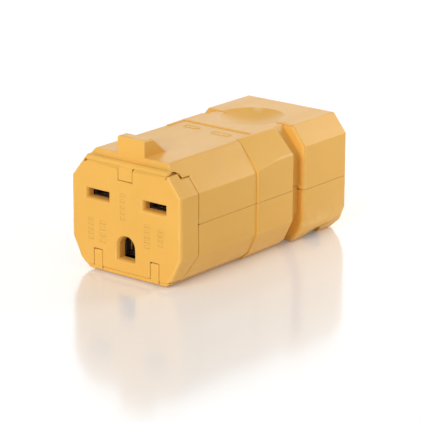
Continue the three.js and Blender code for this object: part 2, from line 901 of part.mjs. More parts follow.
function captiveWasher(x) {
  const inner = screwCoreRadius + washerOverhang;
  const outer = screwHeadRadius + washerOverhang;
  return turned([
    [inner, washerBase],
    [outer, washerBase],
    [outer, washerTop],
    [inner, washerTop],
    [inner, washerBase],
  ], x, screwY);
}

function threadedInsert(x) {
  const bore = screwCoreRadius + insertBoreClearance;
  return turned([
    [bore + insertLead, insertBase],
    [insertRadius, insertBase],
    [insertRadius, insertTop],
    [bore, insertTop],
    [bore, insertBase + insertLeadDepth],
    [bore + insertLead, insertBase],
  ], x, screwY);
}

// --- Cord jaws: blocks with a V-shaped mouth and cross teeth, one in each shell
const jawSlope = Math.atan(jawShoulder / (jawHalfWidth - jawShoulderRun));

// Wedge across half of the lower jaw's mouth, its edge along the sloping face.
function toothNotch(y) {
  const half = toothPitch * toothShare;
  return prismX([
    [y, -toothDepth],
    [y + half, toothHeight],
    [y - half, toothHeight],
  ], -toothDepth / 2, jawHalfWidth + 2).rotate([0, -THREE.MathUtils.radToDeg(jawSlope), 0]);
}

function lowerJaw() {
  const shoulder = jawHalfWidth - jawShoulderRun;
  const outline = [
    [-jawHalfWidth, -jawThickness],
    [jawHalfWidth, -jawThickness],
    [jawHalfWidth, jawShoulder],
    [shoulder, jawShoulder],
    [0, 0],
    [-shoulder, jawShoulder],
    [-jawHalfWidth, jawShoulder],
  ];
  let jaw = prismY(outline, jawStart, jawStart + jawLength);
  for (let y = jawStart + toothPitch / 2; y < jawStart + jawLength; y += toothPitch) {
    const notch = toothNotch(y);
    jaw = jaw.subtract(notch).subtract(notch.mirror([1, 0, 0]));
  }
  return jaw.translate([0, 0, -jawMouth / 2]);
}

const bottomJaw = lowerJaw().translate([0, 0, rearPartingHeight]);
const topJaw = lowerJaw().mirror([0, 0, 1]).translate([0, 0, rearPartingHeight]);

// --- Scene graph
const connector = new THREE.Group();
const bodyGroup = new THREE.Group();
bodyGroup.position.set(0, -overallLength / 2, 0);
connector.add(bodyGroup);

function place(name, solid, look) {
  const mesh = new THREE.Mesh(geometryOf(solid), new THREE.MeshStandardMaterial(look));
  mesh.name = name;
  bodyGroup.add(mesh);
}

place('base_shell', baseShell, yellowNylon);
place('hinged_cover', hingedCover, yellowNylon);
place('face_body', faceBody, yellowNylon);
place('contact_carrier', contactCarrier, darkNylon);
place('ground_contact', groundContact, brass);
place(
  'contact_spring_ground',
  springBand(0, groundHeight, groundReach + fitGap, groundHalfHeight + fitGap),
  steel,
);
place('clamp_plate_ground', groundTerminal.plate, steel);
place('terminal_screw_ground', groundTerminal.screw, greenPlated);
place(
  'hinge_pin',
  rodX(hingePinRadius, -hingePinHalfLength, hingePinHalfLength, hingeDepth, hingeHeight),
  steel,
);
place('lower_cord_jaw', bottomJaw, yellowNylon);
place('upper_cord_jaw', topJaw, yellowNylon);

const sides = [
  { name: 'left', sign: -1, terminal: leftTerminal },
  { name: 'right', sign: 1, terminal: rightTerminal },
];
for (const side of sides) {
  const x = side.sign * slotX;
  place(`line_contact_${side.name}`, lineContact(x), brass);
  place(
    `contact_spring_${side.name}`,
    springBand(x, slotLineHeight, contactHalfWidth + fitGap, leafReach + fitGap),
    steel,
  );
  place(`clamp_plate_${side.name}`, side.terminal.plate, steel);
  place(`terminal_screw_${side.name}`, side.terminal.screw, brass);
  place(`assembly_screw_${side.name}`, assemblyScrew(side.sign * screwX), steel);
  place(`captive_washer_${side.name}`, captiveWasher(side.sign * screwX), steel);
  place(`threaded_insert_${side.name}`, threadedInsert(side.sign * screwX), brass);
}

export default connector;
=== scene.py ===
# Looks for the hinged cord connector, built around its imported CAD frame. Lengths in metres, Z up.
import json
import math

import bmesh
import bpy
import numpy as np
from mathutils import Euler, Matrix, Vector
from mathutils.bvhtree import BVHTree


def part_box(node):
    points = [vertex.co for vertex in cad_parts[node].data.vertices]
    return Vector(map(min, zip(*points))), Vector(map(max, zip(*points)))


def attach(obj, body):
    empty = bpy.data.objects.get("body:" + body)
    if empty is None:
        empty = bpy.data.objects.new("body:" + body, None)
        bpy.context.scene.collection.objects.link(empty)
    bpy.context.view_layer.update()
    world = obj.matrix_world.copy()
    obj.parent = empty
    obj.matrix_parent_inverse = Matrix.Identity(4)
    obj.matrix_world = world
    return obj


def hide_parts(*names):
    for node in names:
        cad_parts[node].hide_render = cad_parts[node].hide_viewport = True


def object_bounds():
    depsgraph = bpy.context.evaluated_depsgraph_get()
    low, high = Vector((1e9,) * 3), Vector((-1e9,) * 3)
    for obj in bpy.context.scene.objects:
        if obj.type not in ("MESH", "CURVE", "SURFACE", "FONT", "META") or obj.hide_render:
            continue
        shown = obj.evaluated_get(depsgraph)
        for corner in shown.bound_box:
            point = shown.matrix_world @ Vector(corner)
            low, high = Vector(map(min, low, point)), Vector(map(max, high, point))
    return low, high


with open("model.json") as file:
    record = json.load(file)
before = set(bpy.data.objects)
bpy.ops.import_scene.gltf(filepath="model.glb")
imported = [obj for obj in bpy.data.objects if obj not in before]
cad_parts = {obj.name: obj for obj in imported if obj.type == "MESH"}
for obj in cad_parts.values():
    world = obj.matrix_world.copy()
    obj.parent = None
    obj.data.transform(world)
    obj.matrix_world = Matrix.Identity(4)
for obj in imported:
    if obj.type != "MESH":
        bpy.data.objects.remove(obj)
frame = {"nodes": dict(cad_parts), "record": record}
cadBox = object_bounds()
nodes = frame["nodes"]
mm = 0.001
print("frame loaded:", len(nodes), "nodes")


# small tools
def linked(name, data):
    piece = bpy.data.objects.new(name, data)
    bpy.context.scene.collection.objects.link(piece)
    return piece


def meshOf(name, points, faces):
    # points is an array of (x, y, z) rows, faces a list of corner lists
    mesh = bpy.data.meshes.new(name)
    mesh.from_pydata([tuple(p) for p in points], [], [list(f) for f in faces])
    bm = bmesh.new()
    bm.from_mesh(mesh)
    bmesh.ops.recalc_face_normals(bm, faces=bm.faces)
    bm.to_mesh(mesh)
    bm.free()
    return mesh


def dressed(piece, material, body, replaced=()):
    piece.data.materials.clear()
    piece.data.materials.append(material)
    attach(piece, body)
    if replaced:
        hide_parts(*replaced)
    return piece


def smoothed(piece, angle):
    # smooth shading, with the edges sharper than the angle in degrees kept sharp
    piece.data.polygons.foreach_set("use_smooth", [True] * len(piece.data.polygons))
    piece.data.set_sharp_from_angle(angle=math.radians(angle))


def tubeFaces(rings, around):
    # quads between the rings of points of a tube, and one face across each end
    i, j = np.meshgrid(np.arange(rings - 1), np.arange(around), indexing="ij")
    k = (j + 1) % around
    quads = np.stack([i * around + j, i * around + k, (i + 1) * around + k, (i + 1) * around + j], -1)
    last = (rings - 1) * around
    return quads.reshape(-1, 4).tolist() + [list(range(around))[::-1], list(range(last, last + around))]


# node groups shared by the materials
def newGroup(name, inputs, outputs):
    group = bpy.data.node_groups.new(name, "ShaderNodeTree")
    for socketName, kind, value in inputs:
        socket = group.interface.new_socket(socketName, in_out="INPUT", socket_type="NodeSocket" + kind)
        socket.default_value = value
    for socketName, kind in outputs:
        group.interface.new_socket(socketName, in_out="OUTPUT", socket_type="NodeSocket" + kind)
    return group, group.nodes.new("NodeGroupInput"), group.nodes.new("NodeGroupOutput")


def mathNode(tree, operation, first, second=None, clamp=False):
    made = tree.nodes.new("ShaderNodeMath")
    made.operation = operation
    made.use_clamp = clamp
    for slotNumber, source in enumerate((first, second)):
        if source is None:
            continue
        if isinstance(source, (int, float)):
            made.inputs[slotNumber].default_value = source
        else:
            tree.links.new(source, made.inputs[slotNumber])
    return made.outputs[0]


def mixNode(tree, factor, first, second):
    # of the sockets of a colour mix, 6 and 7 are the two colours and output 2 is the result
    made = tree.nodes.new("ShaderNodeMix")
    made.data_type = "RGBA"
    for socket, source in ((made.inputs[0], factor), (made.inputs[6], first), (made.inputs[7], second)):
        if isinstance(source, (int, float, tuple)):
            socket.default_value = source
        else:
            tree.links.new(source, socket)
    return made.outputs[2]


def noiseOf(tree, where, scale, detail, rough=0.5, stretch=None):
    texture = tree.nodes.new("ShaderNodeTexNoise")
    texture.inputs["Scale"].default_value = scale
    texture.inputs["Detail"].default_value = detail
    texture.inputs["Roughness"].default_value = rough
    source = where
    if stretch:
        mapping = tree.nodes.new("ShaderNodeMapping")
        mapping.inputs["Scale"].default_value = stretch
        tree.links.new(where, mapping.inputs["Vector"])
        source = mapping.outputs[0]
    tree.links.new(source, texture.inputs["Vector"])
    return texture.outputs["Fac"]


def rangeOf(tree, value, low, high, toLow=0.0, toHigh=1.0):
    made = tree.nodes.new("ShaderNodeMapRange")
    for socketName, number in (("From Min", low), ("From Max", high), ("To Min", toLow), ("To Max", toHigh)):
        made.inputs[socketName].default_value = number
    tree.links.new(value, made.inputs["Value"])
    return made.outputs[0]


def objectPlace(tree):
    return tree.nodes.new("ShaderNodeTexCoord").outputs["Object"]


def handedOn(tree, target, **sources):
    # links each named source to the target's socket of the same name
    for socketName, source in sources.items():
        tree.links.new(source, target.inputs[socketName])


def mouldedGroup():
    # moulded plastic: slow colour drift, faint flow streaks along the part, and fine spark-eroded grain
    group, given, out = newGroup(
        "mouldedSkin",
        [("Colour", "Color", (0.8, 0.5, 0.1, 1)), ("Deep Colour", "Color", (0.6, 0.3, 0.05, 1)),
         ("Drift", "Float", 0.3), ("Roughness", "Float", 0.35), ("Grain", "Float", 1.0)],
        [("Colour", "Color"), ("Roughness", "Float"), ("Height", "Float")],
    )
    where = objectPlace(group)
    drift = noiseOf(group, where, scale=70, detail=4)
    streak = noiseOf(group, where, scale=260, detail=3, stretch=(1, 0.12, 1))
    grain = noiseOf(group, where, scale=5200, detail=2, rough=0.6)
    pebble = noiseOf(group, where, scale=1500, detail=2)
    share = mathNode(group, "MULTIPLY", rangeOf(group, drift, 0.35, 0.7), given.outputs["Drift"])
    share = mathNode(group, "ADD", share, rangeOf(group, streak, 0.5, 0.8, 0, 0.08), clamp=True)
    colour = mixNode(group, share, given.outputs["Colour"], given.outputs["Deep Colour"])
    streakRough = rangeOf(group, streak, 0.3, 0.7, -0.035, 0.035)
    rough = mathNode(group, "ADD", given.outputs["Roughness"], streakRough)
    rough = mathNode(group, "ADD", rough, rangeOf(group, pebble, 0.3, 0.7, -0.02, 0.03), clamp=True)
    grainHeight = rangeOf(group, grain, 0.3, 0.7, 0, 0.5)
    height = mathNode(group, "ADD", grainHeight, rangeOf(group, pebble, 0.3, 0.7, 0, 0.7))
    height = mathNode(group, "MULTIPLY", height, given.outputs["Grain"])
    handedOn(group, out, Colour=colour, Roughness=rough, Height=height)
    return group


def edgeGroup():
    # edge wear and painted highlight: a lighter colour where the rounded normal turns away from the flat one,
    # broken up by noise; partly real rubbed wear, partly a painted highlight on the rounded edges
    group, given, out = newGroup(
        "edgeWearAndHighlight",
        [("Colour", "Color", (1, 1, 1, 1)), ("Worn And Highlight Colour", "Color", (1, 1, 1, 1)),
         ("Amount", "Float", 0.5), ("Roughness", "Float", 0.4)],
        [("Colour", "Color"), ("Roughness", "Float")],
    )
    flatCosine, roundedCosine, polish = 0.9995, 0.990, 0.12
    geometry = group.nodes.new("ShaderNodeNewGeometry")
    turned = group.nodes.new("ShaderNodeVectorMath")
    turned.operation = "DOT_PRODUCT"
    group.links.new(geometry.outputs["Normal"], turned.inputs[0])
    group.links.new(geometry.outputs["True Normal"], turned.inputs[1])
    patches = rangeOf(group, noiseOf(group, objectPlace(group), scale=420, detail=4), 0.35, 0.65, 0.3, 1)
    rounded = rangeOf(group, turned.outputs["Value"], flatCosine, roundedCosine)
    mask = mathNode(group, "MULTIPLY", rounded, patches)
    mask = mathNode(group, "MULTIPLY", mask, given.outputs["Amount"], clamp=True)
    colour = mixNode(group, mask, given.outputs["Colour"], given.outputs["Worn And Highlight Colour"])
    smoother = mathNode(group, "MULTIPLY", mask, polish)
    rough = mathNode(group, "SUBTRACT", given.outputs["Roughness"], smoother, clamp=True)
    handedOn(group, out, Colour=colour, Roughness=rough)
    return group


def dustGroup():
    # sparse pale specks and a thin settled film on faces that look up
    group, given, out = newGroup(
        "settledDust",
        [("Colour", "Color", (1, 1, 1, 1)), ("Amount", "Float", 0.3), ("Roughness", "Float", 0.4)],
        [("Colour", "Color"), ("Roughness", "Float")],
    )
    dustColour, dustRoughness = (0.80, 0.77, 0.70, 1), 0.3
    where = objectPlace(group)
    split = group.nodes.new("ShaderNodeSeparateXYZ")
    group.links.new(group.nodes.new("ShaderNodeNewGeometry").outputs["Normal"], split.inputs[0])
    upward = rangeOf(group, split.outputs["Z"], 0.3, 1.0)
    cloud = rangeOf(group, noiseOf(group, where, scale=160, detail=5, rough=0.6), 0.45, 0.75, 0, 0.25)
    film = mathNode(group, "MULTIPLY", upward, cloud)
    specks = rangeOf(group, noiseOf(group, where, scale=1900, detail=1), 0.74, 0.80, 0, 0.5)
    mask = mathNode(group, "ADD", film, specks)
    mask = mathNode(group, "MULTIPLY", mask, given.outputs["Amount"], clamp=True)
    colour = mixNode(group, mask, given.outputs["Colour"], dustColour)
    rougher = mathNode(group, "MULTIPLY", mask, dustRoughness)
    rough = mathNode(group, "ADD", given.outputs["Roughness"], rougher, clamp=True)
    handedOn(group, out, Colour=colour, Roughness=rough)
    return group


def metalGroup():
    # worked metal: fine drawing lines along the strip, with patches of tarnish
    group, given, out = newGroup(
        "workedMetal",
        [("Colour", "Color", (0.8, 0.6, 0.3, 1)), ("Tarnish Colour", "Color", (0.3, 0.2, 0.1, 1)),
         ("Tarnish", "Float", 0.4), ("Roughness", "Float", 0.3)],
        [("Colour", "Color"), ("Roughness", "Float"), ("Height", "Float")],
    )
    tarnishRoughness = 0.25
    where = objectPlace(group)
    lines = noiseOf(group, where, scale=2600, detail=3, rough=0.6, stretch=(1, 0.06, 1))
    patches = noiseOf(group, where, scale=330, detail=5, rough=0.65)
    pits = noiseOf(group, where, scale=3600, detail=2)
    mask = rangeOf(group, patches, 0.42, 0.72)
    mask = mathNode(group, "MULTIPLY", mask, given.outputs["Tarnish"], clamp=True)
    colour = mixNode(group, mask, given.outputs["Colour"], given.outputs["Tarnish Colour"])
    rough = mathNode(group, "ADD", given.outputs["Roughness"], rangeOf(group, lines, 0.3, 0.7, -0.06, 0.1))
    rougher = mathNode(group, "MULTIPLY", mask, tarnishRoughness)
    rough = mathNode(group, "ADD", rough, rougher, clamp=True)
    height = mathNode(group, "ADD", rangeOf(group, lines, 0.3, 0.7), rangeOf(group, pits, 0.3, 0.7, 0, 0.4))
    handedOn(group, out, Colour=colour, Roughness=rough, Height=height)
    return group


def ladderGroup():
    # a short column of raised bars on the front: inside a rectangle the height follows a folded wave up the
    # column, and it falls to nothing over a narrow shoulder at the rectangle's sides
    group, given, out = newGroup(
        "raisedBars",
        [("Place X", "Float", 0.0), ("Place Z", "Float", 0.0), ("Half X", "Float", 0.001),
         ("Half Z", "Float", 0.003), ("Pitch", "Float", 0.0013)],
        [("Height", "Float")],
    )
    shoulder, gapShare = 0.14 * mm, 0.2
    frontDepth, frontFade = 0.2 * mm, 0.1 * mm    # the bars lie only this near the front plane
    split = group.nodes.new("ShaderNodeSeparateXYZ")
    group.links.new(objectPlace(group), split.inputs[0])
    heights = []
    for axis in "XZ":
        offset = mathNode(group, "SUBTRACT", split.outputs[axis], given.outputs["Place " + axis])
        room = mathNode(group, "SUBTRACT", given.outputs["Half " + axis], mathNode(group, "ABSOLUTE", offset))
        heights.append(mathNode(group, "DIVIDE", room, shoulder, clamp=True))
    fold = group.nodes.new("ShaderNodeMath")
    fold.operation = "PINGPONG"
    group.links.new(mathNode(group, "ADD", offset, given.outputs["Half Z"]), fold.inputs[0])
    group.links.new(mathNode(group, "MULTIPLY", given.outputs["Pitch"], 0.5), fold.inputs[1])
    gap = mathNode(group, "MULTIPLY", given.outputs["Pitch"], gapShare)
    crest = mathNode(group, "SUBTRACT", fold.outputs[0], gap)
    heights.append(mathNode(group, "DIVIDE", crest, shoulder, clamp=True))
    front = mathNode(group, "SUBTRACT", cadBox[0][1] + frontDepth, split.outputs["Y"])
    heights.append(mathNode(group, "DIVIDE", front, frontFade, clamp=True))
    height = heights[0]
    for other in heights[1:]:
        height = mathNode(group, "MINIMUM", height, other)
    group.links.new(height, out.inputs["Height"])
    return group


moulded, edgeWearAndHighlight, settledDust, workedMetal = mouldedGroup(), edgeGroup(), dustGroup(), metalGroup()
raisedBars = ladderGroup()


def groupNode(tree, group, **values):
    made = tree.nodes.new("ShaderNodeGroup")
    made.node_tree = group
    for key, value in values.items():
        made.inputs[key].default_value = value
    return made


def startMaterial(name):
    material = bpy.data.materials.new(name)
    material.use_nodes = True
    tree = material.node_tree
    return material, tree, tree.nodes["Principled BSDF"]


def bumped(tree, shader, height, distance, under=None):
    # bump from a height, on top of an earlier bump when one is given
    bump = tree.nodes.new("ShaderNodeBump")
    bump.inputs["Distance"].default_value = distance
    tree.links.new(height, bump.inputs["Height"])
    if under:
        tree.links.new(under, bump.inputs["Normal"])
    tree.links.new(bump.outputs[0], shader.inputs["Normal"])
    return bump.outputs[0]


def plasticMaterial(name, look):
    material, tree, shader = startMaterial(name)
    skin = groupNode(tree, moulded, Colour=look["colour"], Drift=look["drift"])
    skin.inputs["Roughness"].default_value = look["roughness"]
    skin.inputs["Grain"].default_value = look["grain"]
    skin.inputs["Deep Colour"].default_value = look["deepColour"]
    # lighter colour on the rounded edges: partly rubbed wear, partly a painted highlight
    wearAndHighlight = groupNode(tree, edgeWearAndHighlight, Amount=look["wearAndHighlight"])
    wearAndHighlight.inputs["Worn And Highlight Colour"].default_value = look["wornAndHighlitColour"]
    dust = groupNode(tree, settledDust, Amount=look["dust"])
    for first, second in ((skin, wearAndHighlight), (wearAndHighlight, dust)):
        handedOn(tree, second, Colour=first.outputs["Colour"], Roughness=first.outputs["Roughness"])
    tree.links.new(dust.outputs["Colour"], shader.inputs["Base Color"])
    tree.links.new(dust.outputs["Roughness"], shader.inputs["Roughness"])
    grain = bumped(tree, shader, skin.outputs["Height"], look["grainDepth"])
    height = None
    for x, z, halfX, halfZ, pitch in look.get("bars", ()):
        bars = groupNode(tree, raisedBars, Pitch=pitch * mm)
        for socketName, number in (("Place X", x), ("Place Z", z), ("Half X", halfX), ("Half Z", halfZ)):
            bars.inputs[socketName].default_value = number * mm
        height = bars.outputs[0] if height is None else mathNode(tree, "MAXIMUM", height, bars.outputs[0])
    if height is not None:
        bumped(tree, shader, height, look["barRise"], grain)
    shader.inputs["IOR"].default_value = look["ior"]
    shader.inputs["Specular IOR Level"].default_value = look.get("specular", 0.5)
    shader.inputs["Subsurface Weight"].default_value = look["glow"]
    shader.inputs["Subsurface Radius"].default_value = look["glowReach"]
    shader.inputs["Subsurface Scale"].default_value = 1.0
    return material


def metalMaterial(name, look):
    material, tree, shader = startMaterial(name)
    metal = groupNode(tree, workedMetal, Colour=look["colour"], Tarnish=look["tarnish"])
    metal.inputs["Roughness"].default_value = look["roughness"]
    metal.inputs["Tarnish Colour"].default_value = look["tarnishColour"]
    # lighter colour on the rounded edges: partly rubbed wear, partly a painted highlight
    wearAndHighlight = groupNode(tree, edgeWearAndHighlight, Amount=look["wearAndHighlight"])
    wearAndHighlight.inputs["Worn And Highlight Colour"].default_value = look["wornAndHighlitColour"]
    handedOn(tree, wearAndHighlight, Colour=metal.outputs["Colour"], Roughness=metal.outputs["Roughness"])
    tree.links.new(wearAndHighlight.outputs["Colour"], shader.inputs["Base Color"])
    tree.links.new(wearAndHighlight.outputs["Roughness"], shader.inputs["Roughness"])
    bumped(tree, shader, metal.outputs["Height"], look["lineDepth"])
    shader.inputs["Metallic"].default_value = look["metallic"]
    return material


# the rub colour is the lighter colour of the rounded edges: partly rubbed wear, partly a painted highlight
yellowLook = {
    "colour": (0.86, 0.475, 0.09, 1), "deepColour": (0.78, 0.41, 0.066, 1), "drift": 0.35,
    "roughness": 0.38, "grain": 1.0, "grainDepth": 0.000012, "wearAndHighlight": 0.45, "wornAndHighlitColour": (0.95, 0.64, 0.24, 1),
    "dust": 0.2, "ior": 1.5, "specular": 0.36, "glow": 0.08, "glowReach": (0.0014, 0.0007, 0.0002),
}
yellowNylon = plasticMaterial("yellowNylon", yellowLook)
# the front face carries five columns of raised bars: place x, place z, half sizes and spacing in mm
yellowMarked = plasticMaterial("yellowMarked", {
    **yellowLook, "barRise": 0.00014, "bars": (
        (-11.3, 10.9, 0.95, 3.1, 1.24), (-7.4, 10.7, 1.0, 3.1, 1.55), (-0.9, 18.3, 0.8, 3.7, 1.48),
        (6.9, 12.2, 0.95, 3.3, 1.32), (11.2, 12.6, 0.9, 2.4, 1.2),
    ),
})
darkNylon = plasticMaterial("darkNylon", {
    "colour": (0.035, 0.014, 0.009, 1), "deepColour": (0.02, 0.008, 0.006, 1), "drift": 0.5,
    "roughness": 0.45, "grain": 1.2, "grainDepth": 0.000015, "wearAndHighlight": 0.5, "wornAndHighlitColour": (0.09, 0.05, 0.035, 1),
    "dust": 0.2, "ior": 1.5, "glow": 0.0, "glowReach": (0.001, 0.001, 0.001),
})
contactBrass = metalMaterial("contactBrass", {
    "colour": (0.78, 0.56, 0.24, 1), "tarnishColour": (0.45, 0.27, 0.10, 1), "tarnish": 0.45,
    "roughness": 0.26, "wearAndHighlight": 0.5, "wornAndHighlitColour": (0.92, 0.74, 0.42, 1), "lineDepth": 0.000008, "metallic": 1.0,
})
springSteel = metalMaterial("springSteel", {
    "colour": (0.42, 0.43, 0.46, 1), "tarnishColour": (0.22, 0.20, 0.19, 1), "tarnish": 0.4,
    "roughness": 0.3, "wearAndHighlight": 0.4, "wornAndHighlitColour": (0.65, 0.66, 0.69, 1), "lineDepth": 0.000008, "metallic": 1.0,
})
platedSteel = metalMaterial("platedSteel", {
    "colour": (0.66, 0.67, 0.70, 1), "tarnishColour": (0.44, 0.42, 0.36, 1), "tarnish": 0.35,
    "roughness": 0.24, "wearAndHighlight": 0.4, "wornAndHighlitColour": (0.82, 0.83, 0.85, 1), "lineDepth": 0.000006, "metallic": 1.0,
})
greenScrew = metalMaterial("greenScrew", {
    "colour": (0.03, 0.22, 0.08, 1), "tarnishColour": (0.02, 0.10, 0.05, 1), "tarnish": 0.4,
    "roughness": 0.3, "wearAndHighlight": 0.9, "wornAndHighlitColour": (0.45, 0.47, 0.42, 1), "lineDepth": 0.000006, "metallic": 0.85,
})
print("materials made")


# edges of the moulded and stamped pieces
rounding = {
    "sharpAngle": 24,         # degrees between two faces from which their edge is rounded
    "flatAngle": 0.5,         # degrees under which facets are joined into one face
    "roomShare": 0.38,        # share of the room beside an edge that its rounding may take
    "tightWidth": 0.06 * mm, "hollowWidth": 0.08 * mm, "leastWidth": 0.02 * mm,
    "planeReach": 0.13 * mm,  # how near an edge lies to a crisp plane to count as on it
    "strayShare": 0.5,        # share of the rounding's width that its surface may stray from the plain shape
    "clearReaches": (0.6 * mm, 1.2 * mm, 1.8 * mm, 2.6 * mm),
    "mostCorners": 60,        # faces with more corners are split into triangles
    "merge": 0.004,           # mm within which corners of a piece are one, unless the piece has its own
    "segments": 3,            # steps across a rounding, unless the piece has its own
}


def roomBeside(edge):
    # how far a rounding may reach from this edge: for each edge that meets it, its length times the sine
    # of the angle between them; an edge that carries nearly straight on is no limit
    room, straightOn = 1.0, -0.985
    for corner in edge.verts:
        along = (edge.other_vert(corner).co - corner.co).normalized()
        for other in corner.link_edges:
            if other == edge:
                continue
            side = other.other_vert(corner).co - corner.co
            if side.normalized().dot(along) < straightOn:
                continue
            room = min(room, side.cross(along).length)
    return room


def holdToShape(piece, edgeWidth):
    # a rounding that strays from the plain shape is taken out: each stray corner clears the edges round it,
    # over a wider reach each time until none strays
    mesh = piece.data
    plain = BVHTree.FromPolygons([v.co for v in mesh.vertices], [f.vertices for f in mesh.polygons])
    weights = mesh.attributes["bevel_weight_edge"].data
    corners = [v.co.copy() for v in mesh.vertices]
    most = rounding["strayShare"] * edgeWidth
    for reach in rounding["clearReaches"]:
        shown = piece.evaluated_get(bpy.context.evaluated_depsgraph_get())
        strays = [v.co.copy() for v in shown.to_mesh().vertices if plain.find_nearest(v.co)[3] > most]
        shown.to_mesh_clear()
        if not strays:
            break
        for edge in mesh.edges:
            ends = [corners[index] for index in edge.vertices]
            if any((end - stray).length < reach for end in ends for stray in strays):
                weights[edge.index].value = 0
        mesh.update()


def softenedCopy(nodeName, look):
    # merged copy of a CAD node whose flat facets are joined; every sharp edge gets a rounding no wider
    # than a share of the room beside it
    bm = bmesh.new()
    bm.from_mesh(nodes[nodeName].data)
    bmesh.ops.remove_doubles(bm, verts=bm.verts, dist=look.get("merge", rounding["merge"]) * mm)
    flatAngle = math.radians(rounding["flatAngle"])
    bmesh.ops.dissolve_limit(bm, angle_limit=flatAngle, verts=bm.verts, edges=bm.edges)
    bmesh.ops.triangulate(bm, faces=[f for f in bm.faces if len(f.verts) > rounding["mostCorners"]])
    mesh = bpy.data.meshes.new(nodeName + "_skin")
    points = [v.co.copy() for v in bm.verts]
    bm.verts.index_update()
    mesh.from_pydata(points, [], [[v.index for v in f.verts] for f in bm.faces])
    mesh.update()
    bm.free()
    bm = bmesh.new()
    bm.from_mesh(mesh)
    layer = bm.edges.layers.float.new("bevel_weight_edge")
    sharp = math.radians(rounding["sharpAngle"])

    def isTight(edge):
        return any(
            all(abs(v.co[axis] - place * mm) < rounding["planeReach"] for v in edge.verts)
            for axis, place in look.get("tight", ())
        )

    for edge in bm.edges:
        if len(edge.link_faces) != 2 or edge.calc_face_angle() < sharp:
            continue
        width = min(look["edge"], rounding["roomShare"] * roomBeside(edge))
        if isTight(edge):
            width = min(width, rounding["tightWidth"])
        if not edge.is_convex:
            width = min(width, rounding["hollowWidth"])
        edge[layer] = width / look["edge"] if width > rounding["leastWidth"] else 0
    bm.to_mesh(mesh)
    bm.free()
    piece = linked(nodeName + "_skin", mesh)
    smoothed(piece, rounding["sharpAngle"])
    bevel = piece.modifiers.new("edges", "BEVEL")
    bevel.limit_method = "WEIGHT"
    bevel.width = look["edge"]
    bevel.segments = look.get("segments", rounding["segments"])
    bevel.use_clamp_overlap = False
    flatter = piece.modifiers.new("flatShading", "WEIGHTED_NORMAL")
    flatter.keep_sharp = True
    holdToShape(piece, look["edge"])
    return piece


bodyOf = {name: body for body, members in frame["record"]["behaviour"]["bodies"].items() for name in members}
slotOf = {part["node"]: part["material_slot"] for part in frame["record"]["subparts"]}
materialOf = {
    "yellow_nylon": yellowNylon, "dark_nylon": darkNylon, "contact_brass": contactBrass,
    "spring_steel": springSteel, "plated_steel": platedSteel, "green_screw": greenScrew,
}
# planes (axis, place in mm) whose edges stay crisp: the two levels of the parting line, the collar's front
# and the sides of the hinge knuckle
crisp = ((2, 15.7), (2, 14.75), (1, -4.0), (0, -2.2), (0, 2.2))
edgeOf = {
    "hinged_cover": {"edge": 0.45 * mm, "tight": crisp, "merge": 0.03},
    "base_shell": {"edge": 0.45 * mm, "tight": crisp, "merge": 0.03},
    "face_body": {"edge": 0.35 * mm},
    "contact_carrier": {"edge": 0.3 * mm},
    "lower_cord_jaw": {"edge": 0.2 * mm},
    "upper_cord_jaw": {"edge": 0.2 * mm},
}
metalEdge = {"edge": 0.12 * mm, "segments": 2}
for name in sorted(nodes):
    piece = softenedCopy(name, edgeOf.get(name, metalEdge))
    material = yellowMarked if name == "face_body" else materialOf[slotOf[name]]
    dressed(piece, material, bodyOf[name], [name])
    nodes[name].data.materials.clear()
    nodes[name].data.materials.append(material)
print("edges rounded")


# screw threads
def helixRidge(name, place, radius, rise, low, high, pitch):
    # ridge wound round an upright axis: at angle t its foot is at the radius and its crest a rise further
    # out (further in for a negative rise), low + pitch * t / (2 pi) up; it runs out to nothing at both ends
    stepsPerTurn, runOutAngle, leastShare = 32, 1.2, 0.05
    profileOut, profileUp = np.array([-0.2, 1, 1, -0.2]), np.array([-0.45, -0.1, 0.1, 0.45])
    turns = (high - low) / pitch
    t = np.linspace(0, 2 * np.pi * turns, int(turns * stepsPerTurn) + 1)[:, None]
    runOut = np.clip(np.minimum(t, t[-1] - t) / runOutAngle, leastShare, 1)
    out = radius + rise * profileOut * runOut
    up = low + pitch * t / (2 * np.pi) + pitch * profileUp * runOut
    points = np.stack([place[0] + out * np.cos(t), place[1] + out * np.sin(t), up], -1).reshape(-1, 3)
    piece = linked(name, meshOf(name, points, tubeFaces(len(t), len(profileOut))))
    smoothed(piece, 40)
    return piece


threads = {
    "terminal_screw": {"radius": 1.5, "rise": 0.2, "below": 0.9, "above": 2.9},
    "assembly_screw": {"radius": 1.4, "rise": 0.28, "below": 7.6, "above": 0.9},
    "threaded_insert": {"radius": 1.95, "rise": -0.2, "below": 0.9, "above": 0.5},
}
screwPitch = 0.7 * mm
for name in sorted(nodes):
    kind = "_".join(name.split("_")[:2])
    if kind in threads:
        look = threads[kind]
        low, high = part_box(name)
        ridge = helixRidge(
            name + "_thread", ((low[0] + high[0]) / 2, (low[1] + high[1]) / 2), look["radius"] * mm,
            look["rise"] * mm, low[2] + look["below"] * mm, high[2] - look["above"] * mm, screwPitch,
        )
        dressed(ridge, materialOf[slotOf[name]], bodyOf[name])
print("threads wound")


# tongues along the seams of the shells
def flatPlate(name, outline, low, high):
    # plan outline of (x, y) carried from one height to another, all in mm
    ring = np.array(outline, float)
    points = np.concatenate([np.column_stack([ring, np.full(len(ring), z)]) for z in (low, high)]) * mm
    piece = linked(name, meshOf(name, points, tubeFaces(2, len(ring))))
    bevel = piece.modifiers.new("edges", "BEVEL")
    bevel.width = 0.02 * mm
    bevel.segments = 1
    return piece


